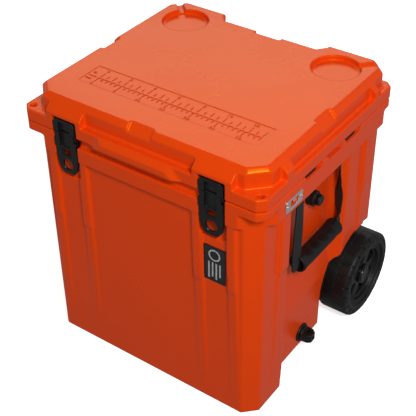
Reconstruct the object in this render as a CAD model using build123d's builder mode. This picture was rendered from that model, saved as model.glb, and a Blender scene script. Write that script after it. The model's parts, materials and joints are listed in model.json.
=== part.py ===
from build123d import *
import math
import os

os.makedirs("parts", exist_ok=True)

# Hard cooler on two wheels: a foam-filled box with a hinged lid, two lever
# latches, two webbing side handles, a drain, a pressure vent, and a pull-out
# tow handle on the back.  Millimetres, +Z up, front is -Y, right is +X.
# The origin is on the floor under the middle of the bounding box.

# ---- driving dimensions ------------------------------------------------
YL = -15.9                 # the box's own centre line, in front of the origin
LID_A, LID_B = 245.15, 213.2   # half width and half depth of lid and collar
SMALL_C = 12.75            # small corner chamfer of lid and collar
Z_FLOOR_IN = 44.0          # inside floor of the ice chamber
Z_BOTTOM = 26.5            # raised underside behind the front foot
FOOT_Y = -110.0            # back edge of the front foot
Z_BAND0 = 423.0            # underside of the collar
Z_BAND1 = 451.9            # above this the collar has its small chamfer
Z_RIM = 469.8              # top of the body rim
Z_PART = 471.3             # underside of the lid
Z_LEDGE = 493.8            # flat ledge at the lid's corners
H = 529.0                  # top deck
DECK_A, DECK_F, DECK_R, DECK_C = 224.4, 190.8, 209.9, 23.0
BODY_A, BODY_B = 230.5, 206.0
COL_K = 412.2              # x+|y| of the front corner columns
COL_KB = 428.0             # x+|y| of the back corner columns
RIB_H = 6.0                # ribs stand this far proud
POCKET_X = 206.0           # floor of the side handle pocket, upper part
POCKET_X2 = 215.5          # floor of the side handle pocket, lower part
CAV_A, CAV_F, CAV_R, CAV_Z = 181.0, -182.0, 178.0, 34.0   # room for the foam
IN_A, IN_F, IN_R = 165.0, -160.0, 148.0                   # ice chamber
LINER_T = 3.0
# room for the foam, as boxes: main block, front columns, front panel, foot,
# back columns and back panel
FOAM_ROOM = [(-CAV_A, CAV_A, CAV_F, CAV_R, CAV_Z, 464.0),
             (181, 222, -178, -118, 34, 440), (-222, -181, -178, -118, 34, 440),
             (-120, 120, -198, -182, 34, 440), (-200, 200, -198, -118, 8, 34),
             (181, 222, 102, 196, 212, 440), (-222, -181, 102, 196, 212, 440),
             (-175, 175, 178, 198, 34, 440)]
WHEEL_R, WHEEL_Y, WHEEL_Z = 87.5, 165.0, 87.5
TYRE_X0, TYRE_X1 = 191.0, 256.0
WELL_X, WELL_R = 186.0, 113.5
AXLE_R = 8.0
FIT = 0.06                 # radial running clearance
HINGE_X, HINGE_Y, HINGE_Z = 150.0, 200.0, 500.0
HPIN_R = 3.0
LATCH_X, LATCH_HW = 149.5, 23.5
LATCH_FY, LATCH_BY = -214.5, -199.5
LPIN_Y, LPIN_Z, LPIN_R = -207.5, 466.0, 2.5
CUP_X, CUP_Y, CUP_R, CUP_D = 161.5, 149.0, 43.5, 10.0
TIE_X, TIE_Y, TIE_R = 230.9, -198.0, 5.5
STRAP_X, STRAP_Z = 226.0, 414.0
GRIP_Z, GRIP_R, GRIP_L = 264.0, 17.0, 66.0
VENT_Y, VENT_Z = 0.0, 362.0
DRAIN_Y, DRAIN_Z = -16.0, 56.0
TOW_X, TOW_Y, TOW_R = 130.0, 241.0, 9.5


# ---- planes and small helpers -------------------------------------------
def flat(z):
    return Plane(origin=(0, YL, z), x_dir=(1, 0, 0), z_dir=(0, 0, 1))


def side(x):
    return Plane(origin=(x, YL, 0), x_dir=(0, 1, 0), z_dir=(1, 0, 0))


def front(y):
    return Plane(origin=(0, YL + y, 0), x_dir=(1, 0, 0), z_dir=(0, -1, 0))


def poly(plane, pts, depth, mode=Mode.ADD):
    with BuildSketch(plane, mode=Mode.PRIVATE) as sk:
        with BuildLine():
            Polyline(*pts, close=True)
        make_face()
    extrude(sk.sketch, amount=depth, mode=mode)


def prism_z(pts, z0, z1, mode=Mode.ADD):
    poly(flat(z0), pts, z1 - z0, mode)


def prism_x(pts, x0, x1, mode=Mode.ADD):
    poly(side(x0), pts, x1 - x0, mode)


def prism_y(pts, y0, y1, mode=Mode.ADD):
    poly(front(y1), pts, y1 - y0, mode)


def block(x0, x1, y0, y1, z0, z1, mode=Mode.ADD):
    prism_z([(x0, y0), (x1, y0), (x1, y1), (x0, y1)], z0, z1, mode)


def rod(plane, u, v, r, depth, mode=Mode.ADD, hole=0):
    with BuildSketch(plane, mode=Mode.PRIVATE) as sk:
        with Locations((u, v)):
            Circle(r)
            if hole:
                Circle(hole, mode=Mode.SUBTRACT)
    extrude(sk.sketch, amount=depth, mode=mode)


def rod_x(y, z, r, x0, x1, mode=Mode.ADD, hole=0):
    rod(side(x0), y, z, r, x1 - x0, mode, hole)


def rod_y(x, z, r, y0, y1, mode=Mode.ADD, hole=0):
    rod(front(y1), x, z, r, y1 - y0, mode, hole)


def rod_z(x, y, r, z0, z1, mode=Mode.ADD, hole=0):
    rod(flat(z0), x, y, r, z1 - z0, mode, hole)


def octagon(a, bf, bb, kf, kb):
    return [(-(kf - bf), -bf), (kf - bf, -bf), (a, -(kf - a)), (a, kb - a),
            (kb - bb, bb), (-(kb - bb), bb), (-a, kb - a), (-a, -(kf - a))]


def save(builder, name):
    builder.part.label = name
    export_step(builder.part, f"parts/{name}.step")


def mirrored(builder):
    with BuildPart() as other:
        add(builder.part)
        mirror(about=Plane.YZ, mode=Mode.REPLACE)
    return other


K_OUT = LID_A + LID_B - SMALL_C

# ======================= LID ============================================
with BuildPart() as lid_shell:
    # sloped upper block, clipped to the flange outline
    drop = 22.4
    with BuildSketch(flat(H - drop), mode=Mode.PRIVATE) as lower:
        with BuildLine():
            Polyline(*octagon(DECK_A + drop, DECK_F + drop, DECK_R + drop,
                              DECK_A + DECK_F - DECK_C + drop * math.sqrt(2),
                              DECK_A + DECK_R - DECK_C + drop * math.sqrt(2)), close=True)
        make_face()
    with BuildSketch(flat(H), mode=Mode.PRIVATE) as upper:
        with BuildLine():
            Polyline(*octagon(DECK_A, DECK_F, DECK_R,
                              DECK_A + DECK_F - DECK_C, DECK_A + DECK_R - DECK_C), close=True)
        make_face()
    loft([lower.sketch, upper.sketch], ruled=True)
    prism_z(octagon(LID_A, LID_B, LID_B, K_OUT, K_OUT), H - drop, H, Mode.INTERSECT)
    prism_z(octagon(LID_A, LID_B, LID_B, K_OUT, K_OUT), Z_PART, H - drop)
    # corner cut-outs down to the flat ledges
    for s in (1, -1):
        prism_z([(s * 187.9, -230), (s * 187.9, -199.2), (s * 202.7, -199.2), (s * 233.1, -168.8),
                 (s * 233.1, -144.5), (s * 260, -144.5), (s * 260, -230)], Z_LEDGE, 540, Mode.SUBTRACT)
        prism_z([(s * 207.9, 230), (s * 207.9, 213.2), (s * 233.1, 188.0), (s * 233.1, 154.0),
                 (s * 260, 154.0), (s * 260, 230)], Z_LEDGE, 540, Mode.SUBTRACT)
    # long recesses on the front and the sides, each with a set-back middle
    block(-112.7, 112.7, -230, -199.5, 494, 540, Mode.SUBTRACT)
    prism_x([(-184.3, 529), (-184.3, 540), (-210, 540), (-210, 503.3)], -24, 24, Mode.SUBTRACT)
    for s in (1, -1):
        prism_z([(s * 234, -122), (s * 234, 142), (s * 260, 142), (s * 260, -122)], 494, 540, Mode.SUBTRACT)
        prism_y([(s * 217, 529), (s * 217, 540), (s * 246, 540), (s * 246, 500)], -22, 24, Mode.SUBTRACT)
    # back recess
    prism_z([(-112.5, 230), (-112.5, 205), (-99, 188), (99, 188), (112.5, 205), (112.5, 230)],
            494, 540, Mode.SUBTRACT)
    prism_x([(179, 529), (179, 540), (200, 540), (200, 508)], -27, 27, Mode.SUBTRACT)
    # cup recesses with drain channels to the corners
    for s in (1, -1):
        rod_z(s * CUP_X, CUP_Y, CUP_R, H - CUP_D, H + 5, Mode.SUBTRACT)
        d = 6 / math.sqrt(2)
        prism_z([(s * (CUP_X - d), CUP_Y + d), (s * (CUP_X + 80 - d), CUP_Y + 80 + d),
                 (s * (CUP_X + 80 + d), CUP_Y + 80 - d), (s * (CUP_X + d), CUP_Y - d)],
                H - 7, H + 5, Mode.SUBTRACT)
    # shallow field for the ruler
    block(-182.3, 183.0, -134.5, -76.0, H - 0.8, H + 5, Mode.SUBTRACT)
    # front pull lip
    with BuildSketch(front(-212.0), mode=Mode.PRIVATE) as root_face:
        with BuildLine():
            Polyline((-98.1, Z_PART), (98.1, Z_PART), (77.1, 494.3), (-77.1, 494.3), close=True)
        make_face()
    with BuildSketch(front(-220.7), mode=Mode.PRIVATE) as tip_face:
        with BuildLine():
            Polyline((-77.3, Z_PART), (77.3, Z_PART), (65.0, 484.8), (-65.0, 484.8), close=True)
        make_face()
    loft([root_face.sketch, tip_face.sketch], ruled=True)
    # recess behind the latch mounts
    for s in (1, -1):
        x0, x1 = sorted((s * (LATCH_X - 25), s * (LATCH_X + 25)))
        block(x0, x1, -230, LATCH_BY, Z_PART - 5, 500.5, Mode.SUBTRACT)
    # tie-down holes
    for s in (1, -1):
        rod_z(s * TIE_X, TIE_Y, TIE_R, Z_PART - 5, Z_LEDGE + 5, Mode.SUBTRACT)
    # room for the foam and the inner panel
    block(-186, 186, -172, 165, Z_PART - 5, 514, Mode.SUBTRACT)
    # hinge pockets open to the back and below, with pin bores each side
    for s in (1, -1):
        x0, x1 = sorted((s * (HINGE_X - 21.5), s * (HINGE_X + 21.5)))
        block(x0, x1, HINGE_Y - 14, 230, Z_PART - 5, HINGE_Z + 13, Mode.SUBTRACT)
        x0, x1 = sorted((s * (HINGE_X - 34), s * (HINGE_X + 34)))
        rod_x(HINGE_Y, HINGE_Z, HPIN_R, x0, x1, Mode.SUBTRACT)
    # relief along the lower back edge, so that the lid clears the rim
    prism_x([(203.2, Z_PART - 1), (203.2, Z_PART), (213.3, Z_PART + 10.1), (230, Z_PART + 10.1), (230, Z_PART - 1)],
            -260, 260, Mode.SUBTRACT)
save(lid_shell, "lid_shell")

with BuildPart() as lid_foam:
    block(-186, 186, -172, 165, 479, 514)
save(lid_foam, "lid_foam")

with BuildPart() as lid_inner_panel:
    block(-186, 186, -172, 165, Z_PART, 479)
    block(-163.2, 163.2, -157.0, 146.2, 461, Z_PART)
    block(-178, 178, -168.5, 161.5, Z_PART, Z_PART + 2.7, Mode.SUBTRACT)
    block(-170, 170, -164.0, 153.5, Z_PART, Z_PART + 2.7)
save(lid_inner_panel, "lid_inner_panel")

with BuildPart() as lid_gasket:
    block(-178, 178, -168.5, 161.5, Z_RIM + 0.1, Z_PART + 2.7)
    block(-170, 170, -164.0, 153.5, Z_RIM, Z_PART + 3, Mode.SUBTRACT)
save(lid_gasket, "lid_gasket")

with BuildPart() as hinge_pin_right:
    rod_x(HINGE_Y, HINGE_Z, HPIN_R, HINGE_X - 34, HINGE_X + 34)
save(hinge_pin_right, "hinge_pin_right")
hinge_pin_left = mirrored(hinge_pin_right)
save(hinge_pin_left, "hinge_pin_left")

# ======================= BODY ===========================================
with BuildPart() as body_shell:
    prism_z(octagon(LID_A, LID_B, LID_B, K_OUT, K_OUT), Z_BAND1, Z_RIM)
    prism_z(octagon(LID_A, LID_B, LID_B, COL_K, COL_KB + 2), Z_BAND0, Z_BAND1)
    prism_z(octagon(BODY_A, BODY_B, BODY_B, COL_K, COL_KB), 0, Z_BAND0)
    # upright ribs on the front: flush with the collar at the top, a step at
    # mid height, then fading into the panel at the foot
    for s in (1, -1):
        prism_y([(s * 109.5, Z_BAND0), (s * 127.5, Z_BAND0), (s * 133, 0), (s * 115.5, 0)],
                -BODY_B - RIB_H, -BODY_B + 1)
        prism_y([(s * 176.5, Z_BAND0), (s * 193.5, Z_BAND0), (s * 203, 0), (s * 184.5, 0)],
                -BODY_B - RIB_H, -BODY_B + 1)
    prism_x([(-BODY_B - RIB_H - 6, 290), (-BODY_B - RIB_H, 290), (-BODY_B - RIB_H + 2.5, 279),
             (-BODY_B, 3), (-BODY_B, -2), (-BODY_B - RIB_H - 6, -2)], -215, 215, Mode.SUBTRACT)
    # the same ribs on the sides
    for s in (1, -1):
        x0, x1 = sorted((s * (BODY_A - 1), s * (BODY_A + RIB_H)))
        prism_x([(-137, Z_BAND0), (-111, Z_BAND0), (FOOT_Y, 0), (-146, 0)], x0, x1)
        prism_x([(142, Z_BAND0), (176, Z_BAND0), (172, 0), (150, 0)], x0, x1)
        prism_y([(s * (BODY_A + RIB_H + 6), 300), (s * (BODY_A + RIB_H), 300), (s * (BODY_A + RIB_H - 2.5), 289),
                 (s * BODY_A, 3), (s * BODY_A, -2), (s * (BODY_A + RIB_H + 6), -2)], -160, 200, Mode.SUBTRACT)
        # handle pocket: deep under the collar, shallower towards the bottom
        prism_z([(s * 250, -111), (s * POCKET_X, -105), (s * POCKET_X, 70), (s * 250, 114)],
                -2, Z_BAND0, Mode.SUBTRACT)
        prism_y([(s * (POCKET_X - 2), 250), (s * POCKET_X, 250), (s * POCKET_X2, 150),
                 (s * POCKET_X2, Z_BOTTOM - 1), (s * (POCKET_X - 2), Z_BOTTOM - 1)], -109, 80)
    # raised underside behind the foot
    block(-260, 260, FOOT_Y, 260, -5, Z_BOTTOM, Mode.SUBTRACT)
    # wheel wells
    for s in (1, -1):
        x0, x1 = sorted((s * WELL_X, s * 262))
        rod_x(WHEEL_Y, WHEEL_Z, WELL_R, x0, x1, Mode.SUBTRACT)
        block(x0, x1, WHEEL_Y - WELL_R, 290, -5, WHEEL_Z, Mode.SUBTRACT)
    # latch recesses and the finger gap between them
    for s in (1, -1):
        prism_y([(s * (LATCH_X - 25), 480), (s * (LATCH_X + 25), 480), (s * (LATCH_X + 25), 389),
                 (s * (LATCH_X + 17), 381), (s * (LATCH_X - 15), 381), (s * (LATCH_X - 25), 391)],
                -230, LATCH_BY, Mode.SUBTRACT)
    block(-124.6, 124.6, -230, -203, 453, 480, Mode.SUBTRACT)
    # side rim: strap slots, seats for the strap retainers, and notches
    for s in (1, -1):
        for t in (1, -1):
            y0, y1 = sorted((t * 54, t * 81))
            x0, x1 = sorted((s * 222, s * 230))
            block(x0, x1, y0, y1, Z_BAND0 - 2, 480, Mode.SUBTRACT)
            y0, y1 = sorted((t * 47, t * 88))
            x0, x1 = sorted((s * 218, s * 235))
            block(x0, x1, y0, y1, 455, 480, Mode.SUBTRACT)
            y0, y1 = sorted((t * 42, t * 88))
            x0, x1 = sorted((s * 230, s * 250))
            block(x0, x1, y0, y1, 465.5, 480, Mode.SUBTRACT)
        x0, x1 = sorted((s * 234, s * 250))
        block(x0, x1, -18, 24, 465.5, 480, Mode.SUBTRACT)
        rod_z(s * TIE_X, TIE_Y, TIE_R, Z_BAND0 - 5, 480, Mode.SUBTRACT)
    # room for foam and liner; bores for drain, vent and axle
    for room in FOAM_ROOM:
        block(*room, Mode.SUBTRACT)
    block(-CAV_A, CAV_A, CAV_F, CAV_R, 464, 480, Mode.SUBTRACT)
    # recess behind the opener plate
    block(233, 250, -136, -110, 438, 451, Mode.SUBTRACT)
    rod_x(DRAIN_Y, DRAIN_Z, 9, 150, 250, Mode.SUBTRACT)
    rod_x(VENT_Y, VENT_Z, 8, 150, 250, Mode.SUBTRACT)
    rod_x(WHEEL_Y, WHEEL_Z, AXLE_R, -200, 200, Mode.SUBTRACT)

# The moulding is cut where its walls meet: each wall, corner column and
# stretch of collar is a simple solid of its own, so that the hollows between
# them stay open for contact.
SHELL_CUTS = []
for z0, z1 in ((34, Z_BAND0), (Z_BAND0, 480)):
    for x0, x1 in ((-260, -174.5), (-174.5, -124.5), (-124.5, 124.5), (124.5, 174.5), (174.5, 260)):
        SHELL_CUTS.append((x0, x1, -230, CAV_F, z0, z1))
    for x0, x1 in ((-260, -175), (-175, 175), (175, 260)):
        SHELL_CUTS.append((x0, x1, CAV_R, 230, z0, z1))
for s in (1, -1):
    x0, x1 = sorted((s * CAV_A, s * 260))
    for y0, y1 in ((CAV_F, -118), (-118, 102), (102, CAV_R)):
        SHELL_CUTS.append((x0, x1, y0, y1, 34, Z_BAND0))
    for y0, y1 in ((CAV_F, -136), (-136, -110), (-110, CAV_R)):
        SHELL_CUTS.append((x0, x1, y0, y1, Z_BAND0, 480))
SHELL_CUTS += [(-260, 260, -230, FOOT_Y, -5, 34), (-260, 260, FOOT_Y, 230, -5, 34)]
shell_solids = []
for cut in SHELL_CUTS:
    with BuildPart() as wall:
        add(body_shell.part)
        block(*cut, Mode.INTERSECT)
    shell_solids += list(wall.part.solids())
shell_volume = sum(w.volume for w in shell_solids)
print("shell", len(shell_solids), "solids", round(shell_volume), "of", round(body_shell.part.volume))
shell_compound = Compound(shell_solids)
shell_compound.label = "body_shell"
export_step(shell_compound, "parts/body_shell.step")

with BuildPart() as body_foam:
    for room in FOAM_ROOM:
        block(*room)
    block(-IN_A - LINER_T, IN_A + LINER_T, IN_F - LINER_T, IN_R + LINER_T,
          Z_FLOOR_IN - LINER_T, 480, Mode.SUBTRACT)
    rod_x(DRAIN_Y, DRAIN_Z, 9, 150, 250, Mode.SUBTRACT)
    rod_x(VENT_Y, VENT_Z, 8, 150, 250, Mode.SUBTRACT)
    rod_x(WHEEL_Y, WHEEL_Z, AXLE_R, -200, 200, Mode.SUBTRACT)
save(body_foam, "body_foam")

with BuildPart() as body_liner:
    block(-CAV_A, CAV_A, CAV_F, CAV_R, 464, Z_RIM)
    block(-IN_A - LINER_T, IN_A + LINER_T, IN_F - LINER_T, IN_R + LINER_T,
          Z_FLOOR_IN - LINER_T, 464)
    block(-IN_A, IN_A, IN_F, IN_R, Z_FLOOR_IN, 480, Mode.SUBTRACT)
    rod_x(DRAIN_Y, DRAIN_Z, 9, 150, 250, Mode.SUBTRACT)
    rod_x(VENT_Y, VENT_Z, 8, 150, 250, Mode.SUBTRACT)
LINER_CUTS = [(-200, 200, -200, 200, 30, Z_FLOOR_IN)]
for z0, z1 in ((Z_FLOOR_IN, 464), (464, 480)):
    LINER_CUTS += [(-200, 200, -200, IN_F, z0, z1), (-200, 200, IN_R, 200, z0, z1),
                   (-200, -IN_A, IN_F, IN_R, z0, z1), (IN_A, 200, IN_F, IN_R, z0, z1)]
liner_solids = []
for cut in LINER_CUTS:
    with BuildPart() as wall:
        add(body_liner.part)
        block(*cut, Mode.INTERSECT)
    liner_solids += list(wall.part.solids())
print("liner", len(liner_solids), "solids", round(sum(w.volume for w in liner_solids)), "of", round(body_liner.part.volume))
liner_compound = Compound(liner_solids)
liner_compound.label = "body_liner"
export_step(liner_compound, "parts/body_liner.step")

# hinge block: foot screwed to the back rim, round knuckle in the lid pocket
with BuildPart() as hinge_block_right:
    block(HINGE_X - 20, HINGE_X + 20, HINGE_Y - 8, HINGE_Y + 8, Z_RIM, HINGE_Z)
    rod_x(HINGE_Y, HINGE_Z, 10, HINGE_X - 20, HINGE_X + 20)
    rod_x(HINGE_Y, HINGE_Z, HPIN_R + FIT, HINGE_X - 25, HINGE_X + 25, Mode.SUBTRACT)
save(hinge_block_right, "hinge_block_right")
hinge_block_left = mirrored(hinge_block_right)
save(hinge_block_left, "hinge_block_left")

# strap retainers: bars that lie on the rim and hold the webbing ends
with BuildPart() as strap_retainers_right:
    for t in (1, -1):
        y0, y1 = sorted((t * 48, t * 87))
        block(219, 234, y0, y1, 455, 466.5)
save(strap_retainers_right, "strap_retainers_right")
strap_retainers_left = mirrored(strap_retainers_right)
save(strap_retainers_left, "strap_retainers_left")

with BuildPart() as strap_ends_right:
    for t in (1, -1):
        y0, y1 = sorted((t * 55, t * 80))
        block(STRAP_X - 1.5, STRAP_X + 1.5, y0, y1, STRAP_Z + 4, 455)
save(strap_ends_right, "strap_ends_right")
strap_ends_left = mirrored(strap_ends_right)
save(strap_ends_left, "strap_ends_left")

with BuildPart() as opener_plate:
    block(LID_A, LID_A + 2, -148.2, -98.2, 432.5, 455.0)
    block(LID_A - 1, LID_A + 3, -135.5, -110.5, 438.5, 450.5, Mode.SUBTRACT)
    block(LID_A, LID_A + 2, -127, -119, 445.5, 450.5)
save(opener_plate, "opener_plate")

with BuildPart() as opener_screws:
    for y in (-143.0, -103.0):
        rod_x(y, 443.7, 3.2, LID_A + 2, LID_A + 3.2)
save(opener_screws, "opener_screws")

with BuildPart() as badge:
    block(130.3, 173.3, -207.4, -206.0, 290.5, 363.5)
save(badge, "badge")

# drain: flanged tube through the wall, and a quarter-turn winged plug
with BuildPart() as drain_fitting:
    rod_x(DRAIN_Y, DRAIN_Z, 19, POCKET_X2, POCKET_X2 + 4)
    rod_x(DRAIN_Y, DRAIN_Z, 9, IN_A, POCKET_X2)
    rod_x(DRAIN_Y, DRAIN_Z, 6, IN_A - 2, POCKET_X2 + 6, Mode.SUBTRACT)
save(drain_fitting, "drain_fitting")

with BuildPart() as drain_plug:
    rod_x(DRAIN_Y, DRAIN_Z, 6 - FIT, POCKET_X2 - 25, POCKET_X2 + 4.4)
    rod_x(DRAIN_Y, DRAIN_Z, 15, POCKET_X2 + 4.4, POCKET_X2 + 9)
    prism_z([(POCKET_X2 + 8.5, DRAIN_Y - 13), (POCKET_X2 + 21, DRAIN_Y - 11.5), (POCKET_X2 + 27, DRAIN_Y - 6),
             (POCKET_X2 + 27, DRAIN_Y + 6), (POCKET_X2 + 21, DRAIN_Y + 11.5), (POCKET_X2 + 8.5, DRAIN_Y + 13)],
            DRAIN_Z - 9, DRAIN_Z + 9)
    block(POCKET_X2 + 11, POCKET_X2 + 21.5, DRAIN_Y - 6.5, DRAIN_Y + 6.5, DRAIN_Z - 20, DRAIN_Z + 20, Mode.SUBTRACT)
save(drain_plug, "drain_plug")

# pressure vent: threaded body in the pocket wall, ribbed turning cap
with BuildPart() as vent_body:
    rod_x(VENT_Y, VENT_Z, 15, POCKET_X, POCKET_X + 4)
    rod_x(VENT_Y, VENT_Z, 8, IN_A, POCKET_X)
    rod_x(VENT_Y, VENT_Z, 5, POCKET_X + 4, POCKET_X + 13)
    rod_x(VENT_Y, VENT_Z, 2, IN_A - 2, POCKET_X + 14, Mode.SUBTRACT)
save(vent_body, "vent_body")

with BuildPart() as vent_knob:
    rod_x(VENT_Y, VENT_Z, 14, POCKET_X + 4.3, POCKET_X + 15)
    rod_x(VENT_Y, VENT_Z, 10, POCKET_X + 15, POCKET_X + 24)
    rod_x(VENT_Y, VENT_Z, 5 + FIT, POCKET_X + 3, POCKET_X + 13.4, Mode.SUBTRACT)
    with BuildSketch(side(POCKET_X + 4.3), mode=Mode.PRIVATE) as flutes:
        with Locations((VENT_Y, VENT_Z)):
            with PolarLocations(14.6, 14):
                Circle(1.4)
    extrude(flutes.sketch, amount=8.5, mode=Mode.SUBTRACT)
save(vent_knob, "vent_knob")

# ======================= LATCHES ========================================
with BuildPart() as latch_mount_right:
    prism_y([(LATCH_X - 23.5, 474.5), (LATCH_X + 23.5, 474.5), (LATCH_X + 23.5, 491.5), (LATCH_X + 16.5, 499),
             (LATCH_X - 16.5, 499), (LATCH_X - 23.5, 491.5)], LATCH_FY, LATCH_BY)
    # sunk middle channel
    prism_x([(LATCH_FY - 1, 470), (LATCH_FY - 1, 492), (LATCH_FY + 3.5, 488), (LATCH_FY + 3.5, 470)],
            LATCH_X - 9, LATCH_X + 9, Mode.SUBTRACT)
    for s in (1, -1):
        x0, x1 = sorted((LATCH_X + s * 17, LATCH_X + s * 23.5))
        block(x0, x1, LPIN_Y - 5.5, LPIN_Y + 6, LPIN_Z, 476)
        rod_x(LPIN_Y, LPIN_Z, 5.8, x0, x1)
    rod_x(LPIN_Y, LPIN_Z, LPIN_R, LATCH_X - 30, LATCH_X + 30, Mode.SUBTRACT)
save(latch_mount_right, "latch_mount_right")
latch_mount_left = mirrored(latch_mount_right)
save(latch_mount_left, "latch_mount_left")

with BuildPart() as latch_pin_right:
    rod_x(LPIN_Y, LPIN_Z, LPIN_R, LATCH_X - 24, LATCH_X + 23.5)
    rod_x(LPIN_Y, LPIN_Z, 4.2, LATCH_X - 31, LATCH_X - 23.5)
save(latch_pin_right, "latch_pin_right")
latch_pin_left = mirrored(latch_pin_right)
save(latch_pin_left, "latch_pin_left")

with BuildPart() as latch_lever_right:
    prism_y([(LATCH_X - 16.5, LPIN_Z), (LATCH_X + 16.5, LPIN_Z), (LATCH_X + 16.5, 459.5), (LATCH_X + 23.5, 459.5),
             (LATCH_X + 23.5, 420), (LATCH_X + 19.5, 400), (LATCH_X + 10.5, 391.3), (LATCH_X - 10.5, 391.3),
             (LATCH_X - 19.5, 400), (LATCH_X - 23.5, 420), (LATCH_X - 23.5, 459.5), (LATCH_X - 16.5, 459.5)],
            LATCH_FY, -208.0)
    rod_x(LPIN_Y, LPIN_Z, 6.5, LATCH_X - 16.5, LATCH_X + 16.5)
    rod_x(LPIN_Y, LPIN_Z, LPIN_R + FIT, LATCH_X - 20, LATCH_X + 20, Mode.SUBTRACT)
    # sunk middle channel, viewing slot and pull hole
    prism_x([(LATCH_FY - 1, 448), (LATCH_FY + 2.5, 448), (LATCH_FY + 2.5, 461), (LATCH_FY - 1, 461)],
            LATCH_X - 9, LATCH_X + 9, Mode.SUBTRACT)
    block(LATCH_X - 6.3, LATCH_X + 6.3, -220, -200, 437, 444, Mode.SUBTRACT)
    rod_y(LATCH_X, 413.5, 8.5, -220, -200, Mode.SUBTRACT)
save(latch_lever_right, "latch_lever_right")
latch_lever_left = mirrored(latch_lever_right)
save(latch_lever_left, "latch_lever_left")

with BuildPart() as latch_keeper_right:
    block(LATCH_X - 20, LATCH_X + 20, -206.3, LATCH_BY, 446.5, 457)
save(latch_keeper_right, "latch_keeper_right")
latch_keeper_left = mirrored(latch_keeper_right)
save(latch_keeper_left, "latch_keeper_left")

# ======================= SIDE HANDLES ===================================
with BuildPart() as handle_strap_right:
    for t in (1, -1):
        prism_x([(t * 55, STRAP_Z), (t * 80, STRAP_Z), (t * 85, GRIP_Z - 9), (t * 71, GRIP_Z - 9), (t * 71, GRIP_Z + 9)],
                STRAP_X - 1.5, STRAP_X + 1.5)
        y0, y1 = sorted((t * 55, t * 80))
        rod_y(STRAP_X, STRAP_Z, 1.5, y0, y1)
    block(STRAP_X - 1.5, STRAP_X + 1.5, -72, 72, GRIP_Z - 9, GRIP_Z + 9)
save(handle_strap_right, "handle_strap_right")
handle_strap_left = mirrored(handle_strap_right)
save(handle_strap_left, "handle_strap_left")

with BuildPart() as handle_grip_right:
    rod_y(STRAP_X, GRIP_Z, GRIP_R, -GRIP_L, GRIP_L)
    fillet(handle_grip_right.edges().filter_by(GeomType.CIRCLE), 4)
    block(STRAP_X - 1.5, STRAP_X + 1.5, -72, 72, GRIP_Z - 9, GRIP_Z + 9, Mode.SUBTRACT)
save(handle_grip_right, "handle_grip_right")
handle_grip_left = mirrored(handle_grip_right)
save(handle_grip_left, "handle_grip_left")

# ======================= WHEELS =========================================
with BuildPart() as tyre_right:
    with BuildSketch(Plane(origin=(0, YL + WHEEL_Y, WHEEL_Z), x_dir=(1, 0, 0), z_dir=(0, 1, 0)), mode=Mode.PRIVATE) as prof:
        with BuildLine():
            Polyline((TYRE_X0 + 5, 58), (TYRE_X0, 62), (TYRE_X0, WHEEL_R - 7), (TYRE_X0 + 8, WHEEL_R),
                     (TYRE_X1 - 8, WHEEL_R), (TYRE_X1, WHEEL_R - 7), (TYRE_X1, 62), (TYRE_X1 - 5, 58), close=True)
        make_face()
    revolve(prof.sketch, axis=Axis((0, YL + WHEEL_Y, WHEEL_Z), (1, 0, 0)), revolution_arc=360)
save(tyre_right, "tyre_right")
tyre_left = mirrored(tyre_right)
save(tyre_left, "tyre_left")

with BuildPart() as wheel_hub_right:
    rod_x(WHEEL_Y, WHEEL_Z, 58, TYRE_X0 + 5, TYRE_X1 - 5, hole=51)
    rod_x(WHEEL_Y, WHEEL_Z, 52, 226, 238)
    rod_x(WHEEL_Y, WHEEL_Z, 14.5, 190.5, 240)
    # six windows between the spokes
    for k in range(6):
        a = math.radians(60 * k)
        pts = [(23, -5.5), (44, -15), (46.5, 0), (44, 15), (23, 5.5)]
        prism_x([(WHEEL_Y + u * math.cos(a) - v * math.sin(a), WHEEL_Z + u * math.sin(a) + v * math.cos(a))
                 for u, v in pts], 220, 250, Mode.SUBTRACT)
    rod_x(WHEEL_Y, WHEEL_Z, 10, 185, 245, Mode.SUBTRACT)
save(wheel_hub_right, "wheel_hub_right")
wheel_hub_left = mirrored(wheel_hub_right)
save(wheel_hub_left, "wheel_hub_left")

with BuildPart() as wheel_bush_right:
    rod_x(WHEEL_Y, WHEEL_Z, 10, 190.5, 240, hole=AXLE_R + FIT)
save(wheel_bush_right, "wheel_bush_right")
wheel_bush_left = mirrored(wheel_bush_right)
save(wheel_bush_left, "wheel_bush_left")

with BuildPart() as hub_cap_right:
    rod_x(WHEEL_Y, WHEEL_Z, 19, 238, 252)
    chamfer(hub_cap_right.edges().filter_by(GeomType.CIRCLE).sort_by(Axis.X)[-1], 2)
    rod_x(WHEEL_Y, WHEEL_Z, 15, 230, 249.5, Mode.SUBTRACT)
save(hub_cap_right, "hub_cap_right")
hub_cap_left = mirrored(hub_cap_right)
save(hub_cap_left, "hub_cap_left")

with BuildPart() as axle:
    rod_x(WHEEL_Y, WHEEL_Z, AXLE_R, -247, 247)
save(axle, "axle")

with BuildPart() as axle_washers:
    for s in (1, -1):
        x0, x1 = sorted((s * WELL_X, s * 189.8))
        rod_x(WHEEL_Y, WHEEL_Z, 14, x0, x1, hole=AXLE_R)
        x0, x1 = sorted((s * 240.6, s * 243))
        rod_x(WHEEL_Y, WHEEL_Z, 13, x0, x1, hole=AXLE_R)
save(axle_washers, "axle_washers")

# ======================= TOW HANDLE =====================================
with BuildPart() as tow_sleeve_right:
    rod_z(TOW_X, TOW_Y, TOW_R, 40, 440, hole=8.0)
save(tow_sleeve_right, "tow_sleeve_right")
tow_sleeve_left = mirrored(tow_sleeve_right)
save(tow_sleeve_left, "tow_sleeve_left")

with BuildPart() as tow_tube_right:
    rod_z(TOW_X, TOW_Y, 8.0 - FIT, 70, 460, hole=6.4)
save(tow_tube_right, "tow_tube_right")
tow_tube_left = mirrored(tow_tube_right)
save(tow_tube_left, "tow_tube_left")

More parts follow.
